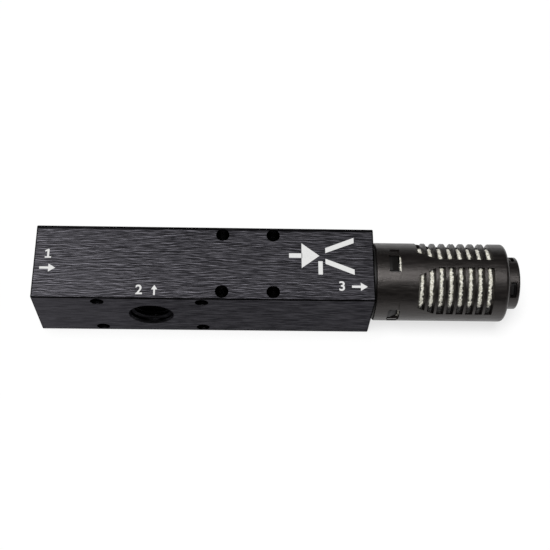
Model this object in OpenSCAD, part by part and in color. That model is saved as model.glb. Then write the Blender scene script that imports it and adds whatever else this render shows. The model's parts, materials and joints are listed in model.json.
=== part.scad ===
// Inline vacuum ejector: a drilled square bar with a venturi inside and a
// slotted silencer screwed into its exhaust end.
// X runs from the air supply end to the silencer, Z is up, sizes in millimetres.
// The origin is on the underside, midway along the whole ejector.

/* [Bar] */
// Length of the square bar
bar_length = 107.95; // [105:0.05:115]
// Width and height of the square bar
bar_width = 25.4; // [25:0.1:28]
// Bevel along every edge of the bar
bar_bevel = 0.3; // [0.1:0.05:0.5]

/* [Screw holes] */
// Diameter of the eight screw holes drilled right through the bar
screw_hole_dia = 4.3; // [3.6:0.1:4.6]
// Centre of a screw hole to the nearest long face
screw_hole_inset = 2.74; // [2.6:0.02:2.9]
// Spacing along the bar of the holes through the sides, centred on the vacuum port
side_hole_pitch = 32.8; // [30:0.1:35]
// Supply end to the first pair of holes through the top
top_hole_start = 59.5; // [59:0.1:62]
// Spacing of the top holes along the bar
top_hole_pitch = 16.2; // [15:0.1:18]

/* [Ports] */
// Diameter of the threaded air supply port, at the thread's roots
supply_port_dia = 10; // [9.6:0.1:10.4]
// Depth of the air supply port
supply_port_depth = 10; // [8:0.5:12]
// Diameter of the threaded vacuum port, at the thread's roots
vacuum_port_dia = 13.2; // [12.6:0.1:13.6]
// Space between the vacuum port's floor and the diffuser's nose behind it
vacuum_port_floor_gap = 0.3; // [0.2:0.1:0.6]
// Supply end to the vacuum port's centre
vacuum_port_start = 36.8; // [35:0.1:38]
// Diameter of the threaded exhaust port, at the thread's roots
exhaust_port_dia = 16.6; // [16:0.1:17]
// Depth of the exhaust port
exhaust_port_depth = 12; // [11:0.5:13]
// Width of the bevel round each port's mouth
port_bevel = 0.7; // [0.4:0.1:0.9]

/* [Inner passages] */
// Diameter of the passage that feeds the nozzle
feed_dia = 8.7; // [8.4:0.1:9]
// Thickness of the web that the nozzle passes through
web_thickness = 4; // [3:0.5:5]
// Diameter of the long bore that holds the diffuser
chamber_dia = 11.1; // [10.8:0.1:11.4]
// Free length of the long bore ahead of the vacuum port
chamber_lead = 2.2; // [1.5:0.1:3]

/* [Nozzle] */
// Length of the nozzle's head
nozzle_head_length = 5; // [4:0.5:6]
// Diameter of the nozzle's shank
nozzle_shank_dia = 5.9; // [5.6:0.1:6]
// Length of the taper at the nozzle's tip
nozzle_taper_length = 5; // [4:0.5:6]
// Outer diameter at the nozzle's tip
nozzle_tip_dia = 3.6; // [3.4:0.1:4]
// How far short of the vacuum port's centre the tip ends
nozzle_tip_lead = 0.4; // [0:0.1:1]
// Diameter of the nozzle's inlet passage
nozzle_inlet_dia = 4; // [3.6:0.1:4.2]
// Diameter of the nozzle's throat
nozzle_throat_dia = 1.5; // [1:0.1:1.8]
// Diameter of the nozzle's flared outlet
nozzle_outlet_dia = 2.1; // [1.9:0.1:2.4]
// Length of the nozzle's flared outlet
nozzle_outlet_length = 2.4; // [2:0.1:3]
// Width and depth of the driver slot across the nozzle's head
driver_slot = 1.2; // [0.8:0.1:1.4]

/* [Diffuser] */
// Gap from the nozzle's tip to the diffuser's mouth
jet_gap = 2; // [1.5:0.1:3]
// Outer diameter of the diffuser's nose
diffuser_nose_dia = 7; // [6.8:0.1:8]
// Inner diameter at the diffuser's mouth
diffuser_mouth_dia = 5.8; // [5.2:0.1:6]
// Length of the rounded mouth
diffuser_mouth_length = 4.5; // [3.5:0.5:6]
// Diameter of the diffuser's throat
diffuser_throat_dia = 3.6; // [3:0.1:4]
// Length of the diffuser's throat
diffuser_throat_length = 16; // [12:1:20]
// Diameter of the diffuser's flared outlet
diffuser_outlet_dia = 7.4; // [6.5:0.1:7.6]
// Diameter of the flange at the diffuser's outlet
flange_dia = 14.4; // [14:0.1:14.8]
// Thickness of the flange
flange_thickness = 2.4; // [2:0.1:3]

/* [Rings] */
// Thickness of the rubber O-rings
o_ring_section = 1; // [0.9:0.05:1.1]
// Width of an O-ring groove beyond the ring's own thickness
o_ring_groove_slack = 0.4; // [0.2:0.1:0.6]
// Thickness of the retaining ring
clip_thickness = 1; // [0.8:0.1:1.2]
// Width of the retaining ring's band
clip_band = 1.5; // [1.2:0.1:1.7]
// How far the retaining ring sits into its groove
clip_groove_depth = 0.5; // [0.3:0.1:0.6]
// Angle of the retaining ring's opening
clip_opening = 50; // [40:1:70]
// Diameter of the lugs at the retaining ring's ends
clip_lug_dia = 2.6; // [2.4:0.1:3]
// Diameter of the plier holes in the lugs
clip_hole_dia = 1.2; // [1:0.1:1.4]

/* [Silencer shell] */
// Bar's end face to the far face of the shell
silencer_length = 43.5; // [43:0.5:48]
// Gap between the bar and the shell
silencer_gap = 0.7; // [0.5:0.1:1]
// Wall of the shell
shell_wall = 1.2; // [1:0.1:1.4]
// Rounding of the shell's far corner
shell_end_radius = 1.2; // [0.8:0.1:2]
// Rounding of the shell's near corner
shell_near_radius = 0.5; // [0.3:0.1:0.8]
// Thickness of the shell's end wall
shell_end_wall = 2; // [1.6:0.1:2.4]
// How far the screwed-in silencer is turned past upright
silencer_turn = 4; // [0:0.5:45]

/* [Silencer slots] */
// Slots in each row
slot_count = 8; // [4:1:8]
// Width of a slot at the shell's surface
slot_width = 2.3; // [2:0.1:2.5]
// Width of a slot at the shell's inner wall
slot_floor_width = 1.2; // [1:0.1:1.6]
// Spacing of the slots
slot_pitch = 3.14; // [3.1:0.01:3.2]
// Bar's end face to the middle of the first slot
slot_start = 15.4; // [14.6:0.1:15.6]
// Angle of the land between two rows of slots
land_angle = 13.5; // [10:0.5:18]
// Half angle that the land gains at the first slot
land_flare_angle = 13; // [6:0.5:14]
// Length over which the land narrows
land_flare_length = 6; // [4:0.1:6.5]
// Rows of slots, a quarter turn apart
slot_rows = 3; // [1:1:4]

/* [Silencer windows] */
// Bar's end face to the near edge of the catch windows
window_start = 4.9; // [4.5:0.1:5.2]
// Length of a catch window
window_length = 3.9; // [3.6:0.1:4.4]
// Angle that a catch window spans
window_angle = 27; // [24:1:32]
// Angle of the shallow pocket that each window lies in
pocket_angle = 52; // [40:1:58]
// Depth of the shallow pocket
pocket_depth = 0.35; // [0.2:0.05:0.5]
// How far the pocket's ends stop short of the window's ends
pocket_margin = 0.4; // [0.2:0.1:0.6]

/* [Silencer stub] */
// Outside diameter of the stub at the silencer's far end
stub_dia = 17; // [16.2:0.1:17.4]
// Length of the stub
stub_length = 4.3; // [4.2:0.1:6]
// Wall of the stub
stub_wall = 1.4; // [1.2:0.1:1.6]
// Rounding of the stub's edge
stub_edge_radius = 0.6; // [0.4:0.1:0.8]
// Face of the shell to the near edge of the stub's windows
stub_window_start = 1.2; // [1:0.1:1.4]
// Length of a stub window
stub_window_length = 2; // [1.6:0.1:2]
// Angle that a stub window spans
stub_window_angle = 36; // [28:1:40]

/* [Silencer connector] */
// Length of the threaded nose
nose_length = 10; // [9:0.5:10.5]
// Radial step from the shell's surface down to the connector's flange
flange_step = 0.8; // [0.6:0.1:0.9]
// Length of each window left open past the connector's catch
window_clear = 0.9; // [0.7:0.1:1.2]
// Bore through the connector
connector_bore = 11; // [10:0.5:12]
// Length of the spigots that hold the sleeve at both ends
spigot_length = 3; // [2:0.5:4]
// How far a catch stays below the surface that it snaps into
catch_recess = 0.3; // [0.2:0.1:0.5]
// Angle that each catch spans
catch_angle = 22; // [18:1:22]
// Length of a catch's flat top
catch_flat = 0.9; // [0.6:0.1:1.2]

/* [Silencer sleeve and plug] */
// Thickness of the felt sleeve
sleeve_thickness = 3; // [2.5:0.1:3.5]
// Thickness of the end plug's brim
brim_thickness = 1.6; // [1.4:0.1:2]
// How far the end plug's face stops short of the stub's rim
plug_face_recess = 0.5; // [0.3:0.1:0.7]
// Depth of the dish in the end plug's face
plug_dish_depth = 1; // [0.6:0.1:1.2]

/* [Fits] */
// Radial clearance of the metal pieces in their bores
metal_fit = 0.05; // [0.03:0.01:0.08]
// Radial clearance of the moulded and threaded pieces
plastic_fit = 0.1; // [0.06:0.02:0.14]
// Clearance round an O-ring
ring_fit = 0.03; // [0.02:0.01:0.05]

/* [Hidden] */
$fn = 96;
cut = 1;            // how far a cutting shape runs past the surface it opens
quarter = 90;       // angle from one window or slot row to the next
arc_step = 15;      // angle between the points of a rounded profile

overall_length = bar_length + silencer_length + stub_length;

// Stations along the bar, from the supply end
chamber_start = vacuum_port_start - vacuum_port_dia / 2 - chamber_lead;
nozzle_seat = chamber_start - web_thickness;
side_hole_start = vacuum_port_start - side_hole_pitch / 2;
nozzle_start = nozzle_seat - nozzle_head_length;
nozzle_tip = vacuum_port_start - nozzle_tip_lead;
diffuser_start = nozzle_tip + jet_gap;
diffuser_shoulder = vacuum_port_start + vacuum_port_dia / 2 + port_bevel;
flange_seat = bar_length - exhaust_port_depth - flange_thickness - 2 * clip_thickness;
diffuser_end = flange_seat + flange_thickness;
clip_start = diffuser_end + metal_fit;
exhaust_floor = bar_length - exhaust_port_depth;

// Radii and depths inside the bar
vacuum_port_depth = (bar_width - diffuser_nose_dia) / 2 - vacuum_port_floor_gap;
feed_r = feed_dia / 2;
chamber_r = chamber_dia / 2;
shank_r = nozzle_shank_dia / 2;
flange_r = flange_dia / 2;
flange_pocket_r = flange_r + metal_fit;
clip_r = flange_pocket_r + clip_groove_depth;

// O-ring grooves and where they lie
groove_width = o_ring_section + o_ring_groove_slack;
groove_depth = o_ring_section + 2 * ring_fit;
nozzle_groove = nozzle_start + (nozzle_head_length + driver_slot - groove_width) / 2;
front_groove = diffuser_shoulder + groove_width;
rear_groove = flange_seat - 3 * groove_width;

// Silencer, as wide as the bar and measured from the bar's end face
shell_r = bar_width / 2;
shell_inner_r = shell_r - shell_wall;
shell_inner_end = silencer_length - shell_end_wall;
stub_r = stub_dia / 2;
stub_inner_r = stub_r - stub_wall;
silencer_end = silencer_length + stub_length;
brim_start = shell_inner_end - brim_thickness;
sleeve_r = shell_inner_r - plastic_fit;
sleeve_inner_r = sleeve_r - sleeve_thickness;
spigot_r = sleeve_inner_r - plastic_fit;
stub_window = silencer_length + stub_window_start;
plug_end = window_start + window_length - window_clear;

// Outline of a rectangle a by b with its corners cut at 45 degrees by c
function bevelled(a, b, c) = [
  [c, 0], [a - c, 0], [a, c], [a, b - c], [a - c, b], [c, b], [0, b - c], [0, c]
];

// Places a piece on the bar's centre line, with stations from the supply end
module on_axis() {
  translate([-overall_length / 2, 0, bar_width / 2]) children();
}

// Places a silencer piece, with stations from the bar's end face
module on_silencer() {
  on_axis() translate([bar_length, 0, 0]) rotate([-silencer_turn, 0, 0]) children();
}

// Turned piece: the profile's points are [radius, station]
module turned(profile) {
  rotate([0, 90, 0]) rotate_extrude() polygon(profile);
}

// Part of a turned piece that spans an angle about the upward direction
module turned_sector(profile, angle) {
  rotate([0, 90, 0]) rotate_extrude(angle = angle, start = 180 - angle / 2) polygon(profile);
}

// Tube or solid rod between two stations
module tube(from, to, outer_r, inner_r = 0) {
  turned([[inner_r, from], [outer_r, from], [outer_r, to], [inner_r, to]]);
}

// Square bar with all twelve edges bevelled
module bevelled_bar() {
  translate([0, -bar_width / 2, -bar_width / 2]) intersection() {
    linear_extrude(bar_width) polygon(bevelled(bar_length, bar_width, bar_bevel));
    translate([0, bar_width, 0]) rotate([90, 0, 0])
      linear_extrude(bar_width) polygon(bevelled(bar_length, bar_width, bar_bevel));
    rotate([90, 0, 90])
      linear_extrude(bar_length) polygon(bevelled(bar_width, bar_width, bar_bevel));
  }
}

// Two pairs of screw holes drilled right through, upright before they are turned
module screw_holes(start, pitch) {
  offset_y = bar_width / 2 - screw_hole_inset;
  for (x = [start, start + pitch], side = [-1, 1])
    translate([x, side * offset_y, 0])
      cylinder(h = bar_width + 2 * cut, d = screw_hole_dia, center = true);
}

// The stepped bore through the bar, as one turned cutter
module stepped_bore() {
  supply_r = supply_port_dia / 2;
  exhaust_r = exhaust_port_dia / 2;
  web_r = shank_r + metal_fit;
  turned([
    [0, -cut], [supply_r + port_bevel + cut, -cut],
    [supply_r, port_bevel], [supply_r, supply_port_depth],
    [feed_r, supply_port_depth], [feed_r, nozzle_seat],
    [web_r, nozzle_seat], [web_r, chamber_start],
    [chamber_r, chamber_start], [chamber_r, flange_seat],
    [flange_pocket_r, flange_seat], [flange_pocket_r, diffuser_end],
    [clip_r, diffuser_end], [clip_r, diffuser_end + clip_thickness + 2 * metal_fit],
    [flange_pocket_r, diffuser_end + clip_thickness + 2 * metal_fit],
    [flange_pocket_r, exhaust_floor], [exhaust_r, exhaust_floor],
    [exhaust_r, bar_length - port_bevel],
    [exhaust_r + port_bevel + cut, bar_length + cut], [0, bar_length + cut]
  ]);
}

// Vacuum port, drilled into the front face
module vacuum_port() {
  port_r = vacuum_port_dia / 2;
  translate([vacuum_port_start, -bar_width / 2, 0]) rotate([-90, 0, 0])
    rotate_extrude() polygon([
      [0, -cut], [port_r + port_bevel + cut, -cut],
      [port_r, port_bevel], [port_r, vacuum_port_depth], [0, vacuum_port_depth]
    ]);
}

// Black anodised bar that holds everything
module ejector_body() {
  color([0.17, 0.17, 0.19]) on_axis() difference() {
    bevelled_bar();
    stepped_bore();
    vacuum_port();
    screw_holes(top_hole_start, top_hole_pitch);
    rotate([90, 0, 0]) screw_holes(side_hole_start, side_hole_pitch);
  }
}

// Brass nozzle: head on the web's shoulder, tip in the vacuum chamber
module nozzle() {
  head_r = feed_r - metal_fit;
  groove_r = feed_r - groove_depth;
  tip_r = nozzle_tip_dia / 2;
  inlet_r = nozzle_inlet_dia / 2;
  throat_r = nozzle_throat_dia / 2;
  outlet_r = nozzle_outlet_dia / 2;
  taper_start = nozzle_tip - nozzle_taper_length;
  outlet_start = nozzle_tip - nozzle_outlet_length;
  throat_start = outlet_start - throat_r;
  inlet_end = throat_start - 2 * inlet_r;
  color([0.78, 0.62, 0.32]) on_axis() difference() {
    turned([
      [inlet_r, nozzle_start], [head_r, nozzle_start],
      [head_r, nozzle_groove], [groove_r, nozzle_groove],
      [groove_r, nozzle_groove + groove_width], [head_r, nozzle_groove + groove_width],
      [head_r, nozzle_seat], [shank_r, nozzle_seat],
      [shank_r, taper_start], [tip_r, nozzle_tip], [outlet_r, nozzle_tip],
      [throat_r, outlet_start], [throat_r, throat_start], [inlet_r, inlet_end]
    ]);
    translate([nozzle_start, 0, 0])
      cube([2 * driver_slot, driver_slot, 2 * feed_r + cut], center = true);
  }
}

// O-ring lying in a groove, pressed against a bore
module o_ring(bore_r, groove_start) {
  section_r = o_ring_section / 2;
  translate([groove_start + groove_width / 2, 0, 0]) rotate([0, 90, 0])
    rotate_extrude() translate([bore_r - ring_fit - section_r, 0]) circle(r = section_r, $fn = 32);
}

module nozzle_o_ring() {
  color([0.1, 0.1, 0.1]) on_axis() o_ring(feed_r, nozzle_groove);
}

module diffuser_front_o_ring() {
  color([0.1, 0.1, 0.1]) on_axis() o_ring(chamber_r, front_groove);
}

module diffuser_rear_o_ring() {
  color([0.1, 0.1, 0.1]) on_axis() o_ring(chamber_r, rear_groove);
}

// Aluminium diffuser: rounded mouth, straight throat and a long flared outlet
module diffuser() {
  body_r = chamber_r - metal_fit;
  groove_r = chamber_r - groove_depth;
  nose_r = diffuser_nose_dia / 2;
  mouth_r = diffuser_mouth_dia / 2;
  throat_r = diffuser_throat_dia / 2;
  throat_start = diffuser_start + diffuser_mouth_length;
  color([0.75, 0.76, 0.78]) on_axis() turned(concat(
    [[nose_r, diffuser_start], [nose_r, diffuser_shoulder], [body_r, diffuser_shoulder]],
    [for (start = [front_groove, rear_groove], point = [
      [body_r, start], [groove_r, start],
      [groove_r, start + groove_width], [body_r, start + groove_width]
    ]) point],
    [[body_r, flange_seat], [flange_r, flange_seat], [flange_r, diffuser_end]],
    [[diffuser_outlet_dia / 2, diffuser_end], [throat_r, throat_start + diffuser_throat_length]],
    [for (a = [0 : arc_step : 90]) [
      throat_r + (mouth_r - throat_r) * (1 - cos(a)),
      throat_start - diffuser_mouth_length * sin(a)
    ]]
  ));
}

// Spring steel ring that keeps the diffuser on its seat, open at the top
module diffuser_retaining_ring() {
  ring_r = clip_r - metal_fit;
  inner_r = ring_r - clip_band;
  lug_place = flange_pocket_r - metal_fit - clip_lug_dia / 2;
  lug_turn = clip_opening / 2;
  color([0.5, 0.52, 0.55]) on_axis() difference() {
    union() {
      rotate([180, 0, 0]) turned_sector([
        [inner_r, clip_start], [ring_r, clip_start],
        [ring_r, clip_start + clip_thickness], [inner_r, clip_start + clip_thickness]
      ], 360 - 2 * lug_turn);
      clip_ends(lug_turn, lug_place, clip_start, clip_thickness, clip_lug_dia);
    }
    clip_ends(lug_turn, lug_place, clip_start - cut, clip_thickness + 2 * cut, clip_hole_dia);
  }
}

// Disc at each end of the retaining ring
module clip_ends(turn, place, start, thickness, dia) {
  for (side = [-1, 1])
    rotate([side * turn, 0, 0]) translate([start, 0, place]) rotate([0, 90, 0])
      cylinder(h = thickness, d = dia);
}

// Catches a quarter turn apart, with a locking face at the near side and a ramp beyond it
module catches(base_r, top_r, start, end, first_turn) {
  for (i = [0 : 3]) rotate([first_turn + i * quarter, 0, 0]) turned_sector([
    [base_r - cut, start], [top_r, start], [top_r, start + catch_flat],
    [base_r, end], [base_r - cut, end]
  ], catch_angle);
}

// Moulded connector: threaded nose, flange, catches and a spigot for the sleeve
module silencer_connector() {
  nose_r = exhaust_port_dia / 2 - plastic_fit;
  bore_r = connector_bore / 2;
  flange_r = shell_r - flange_step;
  catch_r = shell_r - pocket_depth - catch_recess;
  color([0.12, 0.12, 0.12]) on_silencer() {
    turned([
      [bore_r, -nose_length], [nose_r - port_bevel, -nose_length],
      [nose_r, port_bevel - nose_length], [nose_r, 0],
      [flange_r, 0], [flange_r, silencer_gap],
      [sleeve_r, silencer_gap], [sleeve_r, plug_end],
      [spigot_r, plug_end], [spigot_r, plug_end + spigot_length],
      [bore_r, plug_end + spigot_length]
    ]);
    catches(sleeve_r, catch_r, window_start + plastic_fit, plug_end, 0);
  }
}

// Turned section from the axis out to a radius, with its outer corners rounded
module rounded_section(r, from, to, near_radius, far_radius) {
  translate([0, from + near_radius]) square([r, to - from - near_radius - far_radius]);
  translate([0, from]) square([r - near_radius, near_radius]);
  translate([0, to - far_radius]) square([r - far_radius, far_radius]);
  translate([r - near_radius, from + near_radius]) circle(r = near_radius);
  translate([r - far_radius, to - far_radius]) circle(r = far_radius);
}

// Shell before its openings: a cup with a hollow stub on its end wall
module shell_blank() {
  rotate([0, 90, 0]) rotate_extrude() difference() {
    union() {
      rounded_section(shell_r, silencer_gap, silencer_length, shell_near_radius, shell_end_radius);
      translate([0, shell_inner_end]) square([stub_r, silencer_end - stub_edge_radius - shell_inner_end]);
      translate([0, silencer_length]) square([stub_r - stub_edge_radius, stub_length]);
      translate([stub_r - stub_edge_radius, silencer_end - stub_edge_radius])
        circle(r = stub_edge_radius);
    }
    translate([0, silencer_gap - cut]) square([shell_inner_r, shell_inner_end - silencer_gap + cut]);
    translate([0, silencer_gap]) square([stub_inner_r, silencer_end]);
  }
}

// Half the angle of the land between two rows of slots, wider at the first slots
function land_half(x) = land_angle / 2
  + land_flare_angle * max(0, 1 - (x - slot_start + slot_width / 2) / land_flare_length);

// Half the width of a row of slots at a station along the silencer
function row_half(x) = shell_r * sin(quarter / 2 - land_half(x));

// Opening that points upward, with its ends following the lands
module row_opening() {
  start = slot_start - slot_width / 2;
  stations = [start, start + land_flare_length, start + slot_count * slot_pitch];
  linear_extrude(shell_r + cut) polygon(concat(
    [for (x = stations) [x, -row_half(x)]],
    [for (i = [2 : -1 : 0]) [stations[i], row_half(stations[i])]]
  ));
}

// Ring through the shell's wall at a station, wider towards the surface
module slot_ring(x) {
  turned([for (p = [[-0.5, -1], [1.5, -1], [1.5, 1], [-0.5, 1]]) [
    shell_inner_r + p[0] * shell_wall,
    x + p[1] / 2 * (slot_floor_width + p[0] * (slot_width - slot_floor_width))
  ]]);
}

// Every slot: the rings, wherever a row lets them through
module slots() {
  intersection() {
    for (i = [0 : slot_rows - 1]) rotate([quarter / 2 - i * quarter, 0, 0]) row_opening();
    for (i = [0 : slot_count - 1]) slot_ring(slot_start + i * slot_pitch);
  }
}

// Straight-sided cutter that points upward and spans an angle at a radius
module window(start, length, radius, angle) {
  half = radius * sin(angle / 2);
  translate([start, -half, 0]) cube([length, 2 * half, radius + cut]);
}

// Shallow pocket in the shell's surface round a catch window
module window_pocket() {
  intersection() {
    window(window_start + pocket_margin, window_length - 2 * pocket_margin, shell_r, pocket_angle);
    difference() {
      tube(0, silencer_length, shell_r + cut);
      tube(-cut, silencer_length + cut, shell_r - pocket_depth);
    }
  }
}

// Slotted shell of the silencer, in one moulding with its stub
module silencer_shell() {
  color([0.13, 0.12, 0.12]) on_silencer() difference() {
    shell_blank();
    slots();
    for (i = [0 : 3]) rotate([i * quarter, 0, 0]) {
      window(window_start, window_length, shell_r, window_angle);
      window_pocket();
      rotate([quarter / 2, 0, 0]) window(stub_window, stub_window_length, stub_r, stub_window_angle);
    }
  }
}

// White felt sleeve that the exhaust air passes through
module silencer_sleeve() {
  color([0.9, 0.89, 0.86]) on_silencer()
    tube(plug_end + plastic_fit, brim_start - plastic_fit, sleeve_r, sleeve_inner_r);
}

// End plug: brim inside the end wall, crown snapped into the stub
module silencer_end_plug() {
  crown_r = stub_inner_r - plastic_fit;
  face = silencer_end - plug_face_recess;
  dish_r = crown_r - stub_wall;
  color([0.12, 0.12, 0.12]) on_silencer() {
    turned([
      [0, brim_start], [spigot_r - stub_wall, brim_start],
      [spigot_r - stub_wall, brim_start - spigot_length], [spigot_r, brim_start - spigot_length],
      [spigot_r, brim_start], [sleeve_r, brim_start], [sleeve_r, shell_inner_end],
      [crown_r, shell_inner_end], [crown_r, face], [dish_r, face],
      [dish_r, face - plug_dish_depth], [0, face - plug_dish_depth]
    ]);
    catches(crown_r, stub_r - catch_recess, stub_window + plastic_fit,
      stub_window + stub_window_length - plastic_fit, quarter / 2);
  }
}

ejector_body();
nozzle();
nozzle_o_ring();
diffuser();
diffuser_front_o_ring();
diffuser_rear_o_ring();
diffuser_retaining_ring();
silencer_connector();
silencer_shell();
silencer_sleeve();
silencer_end_plug();
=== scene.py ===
# Inline vacuum ejector: a black anodised bar with a venturi inside, and a
# slotted plastic silencer screwed into its end. Dimensions are in metres, in
# the frame's own axes: +X towards the silencer, -Y out of the vacuum port.
import json
import math

import bmesh
import bpy
from mathutils import Matrix, Vector, noise


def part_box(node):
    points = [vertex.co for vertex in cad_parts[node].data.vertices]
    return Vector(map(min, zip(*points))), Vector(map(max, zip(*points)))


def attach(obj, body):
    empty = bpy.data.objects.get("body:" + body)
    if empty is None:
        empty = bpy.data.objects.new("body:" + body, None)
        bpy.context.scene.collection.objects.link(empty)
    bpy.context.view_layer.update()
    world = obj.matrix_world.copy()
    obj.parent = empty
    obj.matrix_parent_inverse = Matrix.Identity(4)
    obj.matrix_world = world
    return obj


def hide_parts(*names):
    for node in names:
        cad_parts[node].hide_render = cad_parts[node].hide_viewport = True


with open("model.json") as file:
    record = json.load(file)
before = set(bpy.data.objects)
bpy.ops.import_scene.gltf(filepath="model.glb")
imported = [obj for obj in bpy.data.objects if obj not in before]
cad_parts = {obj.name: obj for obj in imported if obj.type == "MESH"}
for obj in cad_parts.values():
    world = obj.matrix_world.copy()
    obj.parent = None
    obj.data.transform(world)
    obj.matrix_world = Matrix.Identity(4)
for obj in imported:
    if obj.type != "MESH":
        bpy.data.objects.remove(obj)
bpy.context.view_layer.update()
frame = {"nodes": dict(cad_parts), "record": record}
MM = 0.001
scene = bpy.context.scene
scene.view_settings.view_transform = "Standard"


# ---- Camera --------------------------------------------------------------
# A long lens held high above the front face, a little to the left, and
# tipped so that the bar drops slightly towards the silencer.
AZIMUTH, ELEVATION, ROLL = (math.radians(a) for a in (-3.97, 64.57, 4.27))
DISTANCE = 362.7 * MM
LOOKED_AT = Vector((-1.21, 1.86, 12.95)) * MM
LENS = 72.24
CLIP_START, CLIP_END = 0.01, 100

back = Vector((math.sin(AZIMUTH) * math.cos(ELEVATION),
               -math.cos(AZIMUTH) * math.cos(ELEVATION),
               math.sin(ELEVATION)))
level = Vector((math.cos(AZIMUTH), math.sin(AZIMUTH), 0))
turned = Matrix((level, back.cross(level), back)).transposed()
camera = bpy.data.objects.new("camera", bpy.data.cameras.new("camera"))
camera.data.lens = LENS
camera.data.clip_start, camera.data.clip_end = CLIP_START, CLIP_END
camera.matrix_world = (Matrix.Translation(LOOKED_AT + back * DISTANCE)
                       @ turned.to_4x4() @ Matrix.Rotation(ROLL, 4, "Z"))
scene.collection.objects.link(camera)
scene.camera = camera


# ---- Floor and light -----------------------------------------------------
# A table of opal plastic lit from below, under one broad overhead softbox set
# a little to the left. The table's own glow makes it white and its shadows
# faint. The dim room keeps black faces dark between their highlights.
FLOOR_HALF = 20
FLOOR_DROP = 0.05 * MM
FLOOR_GREY = 0.3
FLOOR_GLOW = 0.72
OVERHEAD_POWER = 2.9
OVERHEAD_SPREAD = math.radians(30)
OVERHEAD_LEFT, OVERHEAD_BACK = math.radians(8), math.radians(-5)
ROOM_LEVEL = 0.06


def new_finish(name, colour, roughness, **numbers):
    """Material with a shader that has these plain numbers on its sockets."""
    finish = bpy.data.materials.new(name)
    finish.use_nodes = True
    shader = finish.node_tree.nodes["Principled BSDF"]
    shader.inputs["Base Color"].default_value = (*colour, 1)
    shader.inputs["Roughness"].default_value = roughness
    for socket, number in numbers.items():
        shader.inputs[socket.replace("_", " ")].default_value = number
    return finish, finish.node_tree, shader


def add(tree, kind, **settings):
    """Adds a node; capitalised settings are sockets, the others properties."""
    node = tree.nodes.new("ShaderNode" + kind)
    for name, value in settings.items():
        if name[0].isupper():
            node.inputs[name.replace("_", " ")].default_value = value
        else:
            setattr(node, name, value)
    return node


floor_mesh = bpy.data.meshes.new("floor")
floor_mesh.from_pydata(
    [(x * FLOOR_HALF, y * FLOOR_HALF, -FLOOR_DROP)
     for x, y in ((-1, -1), (1, -1), (1, 1), (-1, 1))],
    [], [(0, 1, 2, 3)])
floor = bpy.data.objects.new("floor", floor_mesh)
white_table, tree, shader = new_finish(
    "white_table", (FLOOR_GREY,) * 3, 1, Specular_IOR_Level=0,
    Emission_Color=(1, 1, 1, 1))
ray = add(tree, "LightPath")
seen = add(tree, "Math", operation="MAXIMUM")
seen_or_mirrored = add(tree, "Math", operation="MAXIMUM")
glow = add(tree, "Math", operation="MULTIPLY")
glow.inputs[1].default_value = FLOOR_GLOW
tree.links.new(ray.outputs["Is Camera Ray"], seen.inputs[0])
tree.links.new(ray.outputs["Is Transmission Ray"], seen.inputs[1])
tree.links.new(seen.outputs["Value"], seen_or_mirrored.inputs[0])
tree.links.new(ray.outputs["Is Glossy Ray"], seen_or_mirrored.inputs[1])
tree.links.new(seen_or_mirrored.outputs["Value"], glow.inputs[0])
tree.links.new(glow.outputs["Value"], shader.inputs["Emission Strength"])
floor_mesh.materials.append(white_table)
scene.collection.objects.link(floor)

overhead = bpy.data.objects.new("overhead", bpy.data.lights.new("overhead", "SUN"))
overhead.data.energy = OVERHEAD_POWER
overhead.data.angle = OVERHEAD_SPREAD
overhead.rotation_euler = (-OVERHEAD_BACK, -OVERHEAD_LEFT, 0)
scene.collection.objects.link(overhead)

scene.world = bpy.data.worlds.new("room")
scene.world.use_nodes = True
room = scene.world.node_tree.nodes["Background"]
room.inputs["Color"].default_value = (1, 1, 1, 1)
room.inputs["Strength"].default_value = ROOM_LEVEL


# ---- Drilled bar ---------------------------------------------------------
# One inch square aluminium bar, brushed along its length, drilled and tapped, then anodised
# black. Painted light makes it a little paler towards the supply end, and painted shade
# makes it darkest in the holes and on the smoothed edges.
BAR_DARK, BAR_LIGHT = (0.024, 0.0233, 0.027), (0.088, 0.0852, 0.096)
BAR_EDGE_TINT = (0.43, 0.43, 0.43, 1)
BRUSH_MARK = (4.4 * MM, 0.52 * MM, 0.52 * MM)
BROAD_MARK = (18 * MM, 1.6 * MM, 1.6 * MM)
BRUSH_DEPTH, BROAD_DEPTH = 0.15 * MM, 0.02 * MM
# Painted light: over this length the colour grows paler towards the supply end, mixed up to
# this share towards the light brush colour.
PAINTED_LIGHT_END, PAINTED_LIGHT_BY = 45 * MM, 0.4
EDGE_WIDTH = 0.55 * MM
# How much wider the painted shade band is along the bar's back edges.
BACK_SHADE_WIDENING = Vector((0, 0.7, 0)) * MM
# How strong the brushed colour is in the holes (0), on a face (0.5) and on an edge (1).
# Painted shade darkens it in the holes and on the edges.
PAINTED_SHADE_LEVELS = ((0, 0.25), (0.3, 0.25), (0.5, 1), (0.55, 1), (0.7, 0.1))
# Nearly all of a noise lies between these.
NOISE_LOW, NOISE_HIGH = 0.3, 0.7


def grain(tree, lengths, detail=3, roughness=0.6):
    """Noise whose marks have these lengths along X, Y and Z."""
    place = add(tree, "TexCoord")
    stretch = add(tree, "Mapping", Scale=[1 / size for size in lengths])
    marks = add(tree, "TexNoise", Scale=1, Detail=detail, Roughness=roughness)
    tree.links.new(place.outputs["Object"], stretch.inputs["Vector"])
    tree.links.new(stretch.outputs["Vector"], marks.inputs["Vector"])
    return marks.outputs["Fac"]


def ramp(tree, amount, *stops):
    """Colour that passes these stops, each an amount and its colour."""
    blend = add(tree, "ValToRGB")
    elements = blend.color_ramp.elements
    elements.remove(elements[1])
    elements[0].position = stops[0][0]
    for position, _ in stops[1:]:
        elements.new(position)
    for element, (_, colour) in zip(elements, stops):
        element.color = (*colour, 1)
    tree.links.new(amount, blend.inputs["Fac"])
    return blend.outputs["Color"]


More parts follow.
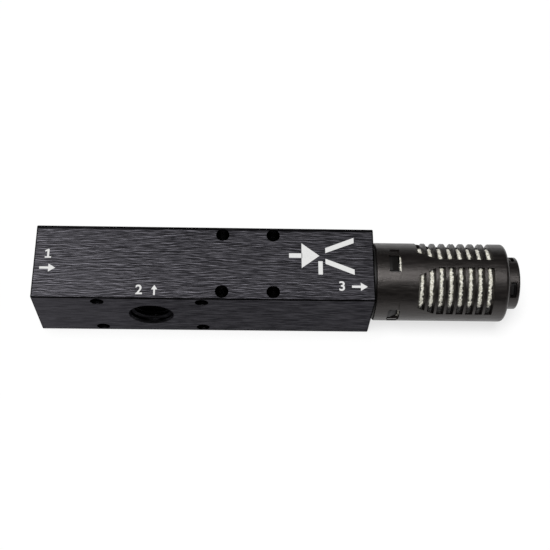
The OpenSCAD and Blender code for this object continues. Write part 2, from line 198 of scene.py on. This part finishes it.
def spread(tree, amount, low, high):
    """Number that goes from low to high over the middle of a noise."""
    scale = add(tree, "MapRange", From_Min=NOISE_LOW, From_Max=NOISE_HIGH,
                To_Min=low, To_Max=high)
    tree.links.new(amount, scale.inputs["Value"])
    return scale.outputs["Result"]


def relief(tree, height, depth, below=None):
    """Bump of this depth from a noise, on top of another bump if there is one."""
    bump = add(tree, "Bump", Strength=1, Distance=depth)
    tree.links.new(height, bump.inputs["Height"])
    if below is not None:
        tree.links.new(below, bump.inputs["Normal"])
    return bump.outputs["Normal"]


def edge_nearness(tree, low, high, width):
    """0 inside a block, 0.5 on its faces and 1 at its edges, over this width."""
    place = add(tree, "TexCoord")
    centred = add(tree, "Mapping", Location=-(low + high) / 2)
    off_centre = add(tree, "VectorMath", operation="ABSOLUTE")
    near = add(tree, "MapRange", data_type="FLOAT_VECTOR")
    sockets = {socket.identifier: socket for socket in near.inputs}
    half = (high - low) / 2
    sockets["From_Min_FLOAT3"].default_value = half - Vector((width,) * 3)
    sockets["From_Max_FLOAT3"].default_value = half
    halves = add(tree, "VectorMath", operation="DOT_PRODUCT")
    halves.inputs[1].default_value = (0.5, 0.5, 0.5)
    tree.links.new(place.outputs["Object"], centred.inputs["Vector"])
    tree.links.new(centred.outputs["Vector"], off_centre.inputs[0])
    tree.links.new(off_centre.outputs["Vector"], near.inputs["Vector"])
    tree.links.new(near.outputs["Vector"], halves.inputs[0])
    return halves.outputs["Value"]


def dress(node, finish):
    """Gives a piece of the frame its finish."""
    for place in frame["nodes"][node].material_slots:
        place.material = finish


bar_low, bar_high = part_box("ejector_body")
anodised, tree, shader = new_finish(
    "black_anodised", BAR_DARK, 0.42, Metallic=1, Specular_Tint=BAR_EDGE_TINT)
brush_marks = grain(tree, BRUSH_MARK, detail=2, roughness=0.5)
broad_marks = grain(tree, BROAD_MARK, detail=1)
brushed = ramp(tree, brush_marks, (0.36, BAR_DARK), (0.82, BAR_LIGHT))
place = add(tree, "TexCoord")
along_bar = add(tree, "SeparateXYZ")
# Painted light: paler towards the supply end.
painted_light_share = add(tree, "MapRange", From_Min=bar_low.x, From_Max=bar_low.x + PAINTED_LIGHT_END,
            To_Min=PAINTED_LIGHT_BY, To_Max=0)
with_painted_light = add(tree, "MixRGB", Color2=(*BAR_LIGHT, 1))
# Painted shade: darker in the holes and along the edges.
painted_shade = ramp(tree, edge_nearness(tree, bar_low, bar_high - BACK_SHADE_WIDENING, EDGE_WIDTH),
                *((amount, (shade_level,) * 3) for amount, shade_level in PAINTED_SHADE_LEVELS))
with_painted_shade = add(tree, "MixRGB", blend_type="MULTIPLY", Fac=1)
tree.links.new(place.outputs["Object"], along_bar.inputs["Vector"])
tree.links.new(along_bar.outputs["X"], painted_light_share.inputs["Value"])
tree.links.new(painted_light_share.outputs["Result"], with_painted_light.inputs["Fac"])
tree.links.new(brushed, with_painted_light.inputs["Color1"])
tree.links.new(with_painted_light.outputs["Color"], with_painted_shade.inputs["Color1"])
tree.links.new(painted_shade, with_painted_shade.inputs["Color2"])
tree.links.new(with_painted_shade.outputs["Color"], shader.inputs["Base Color"])
tree.links.new(spread(tree, broad_marks, 0.38, 0.48), shader.inputs["Roughness"])
tree.links.new(relief(tree, brush_marks, BRUSH_DEPTH,
                      relief(tree, broad_marks, BROAD_DEPTH)),
               shader.inputs["Normal"])
dress("ejector_body", anodised)


# ---- Port threads --------------------------------------------------------
# Taper pipe threads tapped into the vacuum port and the air supply port
# before the bar was anodised. Each is one ridge that winds into its port.
TURN_POINTS = 64
THREAD_SINK = 0.02 * MM
PIPE_TAPER = 1 / 32
# The turns over which a ridge rises at its ends, and the share it starts at.
RUN_OUT, RUN_OUT_LEAST = 0.3, 0.02
# Half the ridge's width at its foot and at its crest, in pitches.
FOOT_HALF, CREST_HALF = 0.47, 0.06
VACUUM_PITCH, VACUUM_HEIGHT, VACUUM_THREAD = 25.4 / 18 * MM, 0.85 * MM, 6.6 * MM
SUPPLY_PITCH, SUPPLY_HEIGHT, SUPPLY_THREAD = 25.4 / 27 * MM, 0.65 * MM, 9 * MM


def find_mount(name):
    """The frame's record of one port."""
    return next(m for m in frame["record"]["mounts"] if m["name"] == name)


def thread_ridge(name, port, pitch, height, length):
    """Ridge that winds into a tapped port from just inside its bevel."""
    mount = find_mount(port)
    inwards = -Vector(mount["axis"])
    wall = mount["dims"]["length_mm"] * MM
    root = mount["dims"]["r_mm"] * MM
    start = Vector(mount["pos_m"]) - inwards * wall / 2
    across = Vector((0, 0, 1))
    side = inwards.cross(across)
    turns = length / pitch - 1
    count = round(turns * TURN_POINTS)
    points = []
    for i in range(count + 1):
        done = i / TURN_POINTS
        angle = done * math.tau
        depth = (done + 0.5) * pitch
        full = min(1, done / RUN_OUT + RUN_OUT_LEAST,
                   (turns - done) / RUN_OUT + RUN_OUT_LEAST)
        crest = root - (height + PIPE_TAPER * depth) * full
        outward = across * math.cos(angle) + side * math.sin(angle)
        for radius, shift in ((root + THREAD_SINK, -FOOT_HALF), (crest, -CREST_HALF),
                              (crest, CREST_HALF), (root + THREAD_SINK, FOOT_HALF)):
            points.append(start + outward * radius
                          + inwards * (depth + shift * pitch * full))
    faces = [(4 * i + k, 4 * i + (k + 1) % 4, 4 * i + 4 + (k + 1) % 4, 4 * i + 4 + k)
             for i in range(count) for k in range(4)]
    faces += [(3, 2, 1, 0), tuple(4 * count + k for k in range(4))]
    mesh = bpy.data.meshes.new(name)
    mesh.from_pydata(points, [], faces)
    mesh.validate()
    mesh.materials.append(anodised)
    ridge = bpy.data.objects.new(name, mesh)
    scene.collection.objects.link(ridge)
    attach(ridge, "root")


thread_ridge("vacuum_port_thread", "vacuum_port",
             pitch=VACUUM_PITCH, height=VACUUM_HEIGHT, length=VACUUM_THREAD)
thread_ridge("air_supply_thread", "air_supply",
             pitch=SUPPLY_PITCH, height=SUPPLY_HEIGHT, length=SUPPLY_THREAD)


# ---- Printed marks -------------------------------------------------------
# White ink screened on the top face: a plain number at each port with an
# arrow that shows which way its air goes, and the ejector's circuit symbol.
INK = 0.03 * MM
INK_WHITE, INK_WORN = (0.80, 0.80, 0.79), (0.62, 0.62, 0.62)
INK_SPECK, INK_GRIT = 0.25 * MM, 0.01 * MM
NUMBER_HEIGHT = 3.1 * MM
# A figure's height and how much bolder it is cut, as shares of the type size.
FIGURE_SHARE, BOLDER = 0.69, 0.018
SMALL_ARROW = 0.7
ARROW = [(-2.4, -0.4), (0.4, -0.4), (0.4, -1.4), (2.6, 0), (0.4, 1.4), (0.4, 0.4),
         (-2.4, 0.4)]
ONE = [(-1, -1.55), (1, -1.55), (1, -1.05), (0.33, -1.05), (0.33, 1.55), (-0.1, 1.55),
       (-0.95, 1.15), (-0.95, 0.6), (-0.3, 0.85), (-0.3, -1.05), (-1, -1.05)]
EJECTOR_SYMBOL = {
    "supply line": [(-10.6, -0.8), (-6.4, -0.8), (-6.4, 0.8), (-10.6, 0.8)],
    "nozzle": [(-6.6, -4.4), (-0.9, 0), (-6.6, 4.4)],
    "diffuser's far side": [(1.0, 1.0), (10.2, 4.7), (10.2, 6.6), (1.0, 2.8)],
    "diffuser's near side": [(10.2, -4.7), (1.0, -1.0), (1.0, -2.8), (10.2, -6.6)],
    "vacuum line": [(-1.3, -6.6), (0.1, -6.6), (0.1, -1.9), (-1.3, -1.9)],
}
# Places on the top face. "In" is from the nearer end, "left" and "right" are
# from the vacuum port. Marks 2 and 3 and their arrows are back from the front
# edge; 1, its arrow and the symbol are back or forward from the middle.
SUPPLY_MARKS_IN, ONE_BACK, SUPPLY_ARROW_FORWARD = 4.4 * MM, 2.6 * MM, 2.4 * MM
VACUUM_MARKS_BACK, TWO_LEFT, VACUUM_ARROW_RIGHT = 2.9 * MM, 3.2 * MM, 1.6 * MM
EXHAUST_MARKS_BACK, THREE_IN, EXHAUST_ARROW_IN = 4.9 * MM, 10.5 * MM, 5 * MM
SYMBOL_IN, SYMBOL_BACK = 16.6 * MM, 2.9 * MM
WELD = 0.001 * MM
marks = bmesh.new()


def print_shape(outline, at, turn=0, size=1):
    """Prints a flat shape: its outline's points are in millimetres."""
    place = (Matrix.Translation((*at, bar_high.z)) @ Matrix.Rotation(turn, 4, "Z")
             @ Matrix.Scale(size * MM, 4))
    corners = [place @ Vector((x, y, 0)) for x, y in outline]
    low = [marks.verts.new(c - Vector((0, 0, INK))) for c in corners]
    high = [marks.verts.new(c + Vector((0, 0, INK))) for c in corners]
    marks.faces.new(low[::-1])
    marks.faces.new(high)
    for i in range(len(corners)):
        j = (i + 1) % len(corners)
        marks.faces.new((low[i], low[j], high[j], high[i]))


def print_number(text, at):
    """Prints a port's number."""
    lettering = bpy.data.curves.new("number", "FONT")
    lettering.body = text
    lettering.size = NUMBER_HEIGHT / FIGURE_SHARE
    lettering.offset = BOLDER * lettering.size
    lettering.extrude = INK
    lettering.align_x, lettering.align_y = "CENTER", "CENTER"
    carrier = bpy.data.objects.new("number", lettering)
    scene.collection.objects.link(carrier)
    shape = carrier.to_mesh()
    shape.transform(Matrix.Translation((*at, bar_high.z)))
    marks.from_mesh(shape)
    carrier.to_mesh_clear()
    bpy.data.objects.remove(carrier)
    bpy.data.curves.remove(lettering)


vacuum_x = find_mount("vacuum_port")["pos_m"][0]
print_shape(ONE, (bar_low.x + SUPPLY_MARKS_IN, ONE_BACK))
print_shape(ARROW, (bar_low.x + SUPPLY_MARKS_IN, -SUPPLY_ARROW_FORWARD))
print_number("2", (vacuum_x - TWO_LEFT, bar_low.y + VACUUM_MARKS_BACK))
print_shape(ARROW, (vacuum_x + VACUUM_ARROW_RIGHT, bar_low.y + VACUUM_MARKS_BACK),
            turn=math.pi / 2, size=SMALL_ARROW)
print_number("3", (bar_high.x - THREE_IN, bar_low.y + EXHAUST_MARKS_BACK))
print_shape(ARROW, (bar_high.x - EXHAUST_ARROW_IN, bar_low.y + EXHAUST_MARKS_BACK))
for outline in EJECTOR_SYMBOL.values():
    print_shape(outline, (bar_high.x - SYMBOL_IN, SYMBOL_BACK))

bmesh.ops.remove_doubles(marks, verts=marks.verts, dist=WELD)
ink_mesh = bpy.data.meshes.new("printed_marks")
marks.to_mesh(ink_mesh)
marks.free()
ink, tree, shader = new_finish("white_ink", INK_WHITE, 0.55)
specks = grain(tree, (INK_SPECK,) * 3)
tree.links.new(ramp(tree, specks, (0.25, INK_WORN), (0.5, INK_WHITE)),
               shader.inputs["Base Color"])
tree.links.new(relief(tree, specks, INK_GRIT), shader.inputs["Normal"])
ink_mesh.materials.append(ink)
printed_marks = bpy.data.objects.new("printed_marks", ink_mesh)
scene.collection.objects.link(printed_marks)
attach(printed_marks, "root")


# ---- Nozzle --------------------------------------------------------------
# Turned from brass bar, with a driver slot across its head. It is pushed in
# through the supply port until its head stops against the web in the bar.
BRASS, BRASS_DARK, BRASS_LIGHT = (0.56, 0.38, 0.14), (0.42, 0.27, 0.09), (0.62, 0.43, 0.17)
BRASS_FEED = (0.12 * MM, 4 * MM, 4 * MM)
TURNED_DEPTH = 0.01 * MM

brass, tree, shader = new_finish("turned_brass", BRASS, 0.3, Metallic=1)
tool_marks = grain(tree, BRASS_FEED)
tree.links.new(ramp(tree, tool_marks, (0.3, BRASS_DARK), (0.7, BRASS_LIGHT)),
               shader.inputs["Base Color"])
tree.links.new(spread(tree, tool_marks, 0.24, 0.4), shader.inputs["Roughness"])
tree.links.new(relief(tree, tool_marks, TURNED_DEPTH), shader.inputs["Normal"])
dress("nozzle", brass)


# ---- Diffuser ------------------------------------------------------------
# Turned from plain aluminium with fine tool marks round it. Its flange stops
# on a step in the bar's bore, and its flared outlet faces the silencer.
BARE, BARE_DARK, BARE_LIGHT = (0.6, 0.61, 0.63), (0.5, 0.51, 0.53), (0.68, 0.69, 0.7)
BARE_FEED = (0.1 * MM, 5 * MM, 5 * MM)

turned_aluminium, tree, shader = new_finish("turned_aluminium", BARE, 0.3, Metallic=1)
tool_marks = grain(tree, BARE_FEED)
tree.links.new(ramp(tree, tool_marks, (0.3, BARE_DARK), (0.7, BARE_LIGHT)),
               shader.inputs["Base Color"])
tree.links.new(spread(tree, tool_marks, 0.22, 0.38), shader.inputs["Roughness"])
tree.links.new(relief(tree, tool_marks, TURNED_DEPTH), shader.inputs["Normal"])
dress("diffuser", turned_aluminium)


# ---- O-rings -------------------------------------------------------------
# Moulded nitrile rings, one round the nozzle's head and one at each end of
# the diffuser, with the dull bloom of greased rubber.
NITRILE, NITRILE_DARK, NITRILE_PALE = (0.012,) * 3, (0.009,) * 3, (0.02,) * 3
BLOOM_SIZE, BLOOM_DEPTH = 0.4 * MM, 0.01 * MM

rubber, tree, shader = new_finish("nitrile", NITRILE, 0.5)
bloom = grain(tree, (BLOOM_SIZE,) * 3)
tree.links.new(ramp(tree, bloom, (0.35, NITRILE_DARK), (0.7, NITRILE_PALE)),
               shader.inputs["Base Color"])
tree.links.new(spread(tree, bloom, 0.4, 0.6), shader.inputs["Roughness"])
tree.links.new(relief(tree, bloom, BLOOM_DEPTH), shader.inputs["Normal"])
for ring in ("nozzle_o_ring", "diffuser_front_o_ring", "diffuser_rear_o_ring"):
    dress(ring, rubber)


# ---- Retaining ring ------------------------------------------------------
# Stamped from spring steel strip and phosphated dark grey. It is squeezed by
# its two lugs to drop into the groove behind the diffuser's flange.
STEEL, STEEL_DARK, STEEL_PALE = (0.3, 0.31, 0.33), (0.2, 0.21, 0.22), (0.36, 0.37, 0.39)
PHOSPHATE_SIZE = 0.15 * MM

spring_steel, tree, shader = new_finish("phosphated_steel", STEEL, 0.45, Metallic=1)
phosphate = grain(tree, (PHOSPHATE_SIZE,) * 3)
tree.links.new(ramp(tree, phosphate, (0.35, STEEL_DARK), (0.65, STEEL_PALE)),
               shader.inputs["Base Color"])
tree.links.new(spread(tree, phosphate, 0.4, 0.55), shader.inputs["Roughness"])
dress("diffuser_retaining_ring", spring_steel)


# ---- Silencer connector and end plug -------------------------------------
# Moulded black nylon. The connector screws into the bar and snaps into the
# near end of the shell; the plug snaps into the stub at the far end.
NYLON, NYLON_DARK, NYLON_PALE = (
    (0.006, 0.0055, 0.0055), (0.004, 0.0037, 0.0037), (0.008, 0.0074, 0.0074))
MOULD_GRAIN, MOULD_DEPTH = 0.3 * MM, 0.008 * MM

nylon, tree, shader = new_finish("black_nylon", NYLON, 0.5, Specular_IOR_Level=0.25)
mould_grain = grain(tree, (MOULD_GRAIN,) * 3)
tree.links.new(ramp(tree, mould_grain, (0.3, NYLON_DARK), (0.7, NYLON_PALE)),
               shader.inputs["Base Color"])
tree.links.new(spread(tree, mould_grain, 0.44, 0.56), shader.inputs["Roughness"])
tree.links.new(relief(tree, mould_grain, MOULD_DEPTH), shader.inputs["Normal"])
dress("silencer_connector", nylon)
dress("silencer_end_plug", nylon)


# ---- Silencer shell ------------------------------------------------------
# Thin moulding in the same nylon, off a smoother tool, so that it has a soft
# shine. Faint flow marks run along it from the stub.
SHELL, SHELL_DARK, SHELL_PALE = (
    (0.0055, 0.0046, 0.0044), (0.0042, 0.0034, 0.0032), (0.0085, 0.007, 0.0066))
SHELL_TINT = (1, 0.93, 0.9, 1)
FLOW_MARK, FLOW_DEPTH = (5 * MM, 0.9 * MM, 0.9 * MM), 0.06 * MM
TOOL_FINISH, TOOL_DEPTH = 0.3 * MM, 0.04 * MM

smooth_nylon, tree, shader = new_finish(
    "smooth_black_nylon", SHELL, 0.38, Specular_IOR_Level=0.5, Specular_Tint=SHELL_TINT)
flow_marks = grain(tree, FLOW_MARK, detail=4)
tool_finish = grain(tree, (TOOL_FINISH,) * 3, detail=2)
tree.links.new(ramp(tree, flow_marks, (0.3, SHELL_DARK), (0.7, SHELL_PALE)),
               shader.inputs["Base Color"])
tree.links.new(spread(tree, flow_marks, 0.28, 0.46), shader.inputs["Roughness"])
tree.links.new(relief(tree, tool_finish, TOOL_DEPTH,
                      relief(tree, flow_marks, FLOW_DEPTH)),
               shader.inputs["Normal"])
dress("silencer_shell", smooth_nylon)


# ---- Felt sleeve ---------------------------------------------------------
# Pressed white fibre tube, pushed over the spigots inside the shell. It swells into most of
# each row of slots, and painted shade makes it near black where it lies deeper.
SLEEVE_STEP, SLEEVE_TURN = 0.14 * MM, 0.25 * MM
SLEEVE_CLEAR, SLEEVE_WALL = 0.06 * MM, 3 * MM
TUFT, FLUFF, RAG = 0.8 * MM, 0.35 * MM, 0.7 * MM
TUFT_SHARE = 0.35
RAGGED_START = 0.45 * MM
SLOT_COUNT, SLOT_PITCH, SLOT_HALF = 8, 3.14 * MM, 0.9 * MM
SLOT_FIRST = 15.4 * MM
SWOLLEN = [(math.radians(a), math.radians(b)) for a, b in ((15, 97), (102, 144), (195, 277))]
SWOLLEN_EDGE = math.radians(10)
SWELL, SINK = 0.3 * MM, 0.5 * MM
SWELL_HALF, SWELL_RAGGED = 0.45 * MM, 0.9
FELT, FELT_GREY, FELT_WHITE = (0.86, 0.84, 0.78), (0.5, 0.48, 0.38), (0.98, 0.96, 0.87)
# Painted shade: near-black colour that the felt fades to where it lies deeper. It is fully
# dark below the first depth under its skin and clear above the second.
DEEP_SHADE_COLOUR = (0.03, 0.027, 0.025, 1)
SHADED_BELOW, UNSHADED_ABOVE = 0.36 * MM, 0.1 * MM
FIBRES, FIBRE_DEPTH = (0.6 * MM, 0.5 * MM, 0.5 * MM), 0.05 * MM

sleeve_low, sleeve_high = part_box("silencer_sleeve")
centre_z = (sleeve_low.z + sleeve_high.z) / 2
sleeve_r = (sleeve_high.z - sleeve_low.z) / 2


def swelling(station, angle, ragged):
    """How far the felt swells into the slots at a point, or sinks beside them."""
    slot = min(SLOT_COUNT - 1, max(0, round((station - SLOT_FIRST) / SLOT_PITCH)))
    across = abs(station - SLOT_FIRST - slot * SLOT_PITCH)
    if across >= SLOT_HALF:
        return 0
    inside = max(min(angle - start, end - angle) for start, end in SWOLLEN)
    full = min(1, max(0, inside / SWOLLEN_EDGE))
    crest = 1 - (across / (SWELL_HALF * (1 + SWELL_RAGGED * ragged))) ** 2
    return max(-SINK, SWELL * crest * full - SINK * (1 - full))


# The outer skin's rings lie between two rings of the bore, one at each end.
around = round(math.tau * sleeve_r / SLEEVE_TURN)
along = round((sleeve_high.x - sleeve_low.x) / SLEEVE_STEP)
points, faces = [], []
for i in range(-1, along + 2):
    for j in range(around):
        angle = math.tau * j / around
        outward = Vector((0, -math.cos(angle), math.sin(angle)))
        x = sleeve_low.x + (sleeve_high.x - sleeve_low.x) * min(along, max(0, i)) / along
        at = Vector((x, 0, centre_z)) + outward * sleeve_r
        tuft = noise.noise(at / TUFT) + noise.noise(at / FLUFF)
        swell = swelling(x - bar_high.x, angle, noise.noise(at / RAG))
        rough = tuft * (SLEEVE_CLEAR + TUFT_SHARE * abs(swell))
        at.x = max(at.x, sleeve_low.x + RAGGED_START * (1 + tuft))
        if 0 <= i <= along:
            at += outward * (swell + rough - SLEEVE_CLEAR)
        else:
            at -= outward * SLEEVE_WALL
        points.append(at)
for i in range(along + 3):
    for j in range(around):
        a, b, k = i * around, (i + 1) % (along + 3) * around, (j + 1) % around
        faces.append((a + j, b + j, b + k, a + k))
felt_mesh = bpy.data.meshes.new("felt_sleeve")
felt_mesh.from_pydata(points, [], faces)
felt_mesh.shade_smooth()

felt, tree, shader = new_finish("white_felt", FELT, 0.9, Sheen_Weight=0.3)
fibres = grain(tree, FIBRES, detail=2)
place = add(tree, "TexCoord")
off_axis = add(tree, "Mapping", Location=(0, 0, -centre_z), Scale=(0, 1, 1))
radius = add(tree, "VectorMath", operation="LENGTH")
# Painted shade: darker where the felt lies deeper.
unshaded_share = add(tree, "MapRange", From_Min=sleeve_r - SHADED_BELOW,
            From_Max=sleeve_r - UNSHADED_ABOVE)
felt_painted_shade = add(tree, "MixRGB", Color1=DEEP_SHADE_COLOUR)
tree.links.new(place.outputs["Object"], off_axis.inputs["Vector"])
tree.links.new(off_axis.outputs["Vector"], radius.inputs[0])
tree.links.new(radius.outputs["Value"], unshaded_share.inputs["Value"])
tree.links.new(unshaded_share.outputs["Result"], felt_painted_shade.inputs["Fac"])
tree.links.new(ramp(tree, fibres, (0.36, FELT_GREY), (0.6, FELT_WHITE)),
               felt_painted_shade.inputs["Color2"])
tree.links.new(felt_painted_shade.outputs["Color"], shader.inputs["Base Color"])
tree.links.new(relief(tree, fibres, FIBRE_DEPTH), shader.inputs["Normal"])
felt_mesh.materials.append(felt)
felt_sleeve = bpy.data.objects.new("felt_sleeve", felt_mesh)
scene.collection.objects.link(felt_sleeve)
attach(felt_sleeve, "root")
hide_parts("silencer_sleeve")
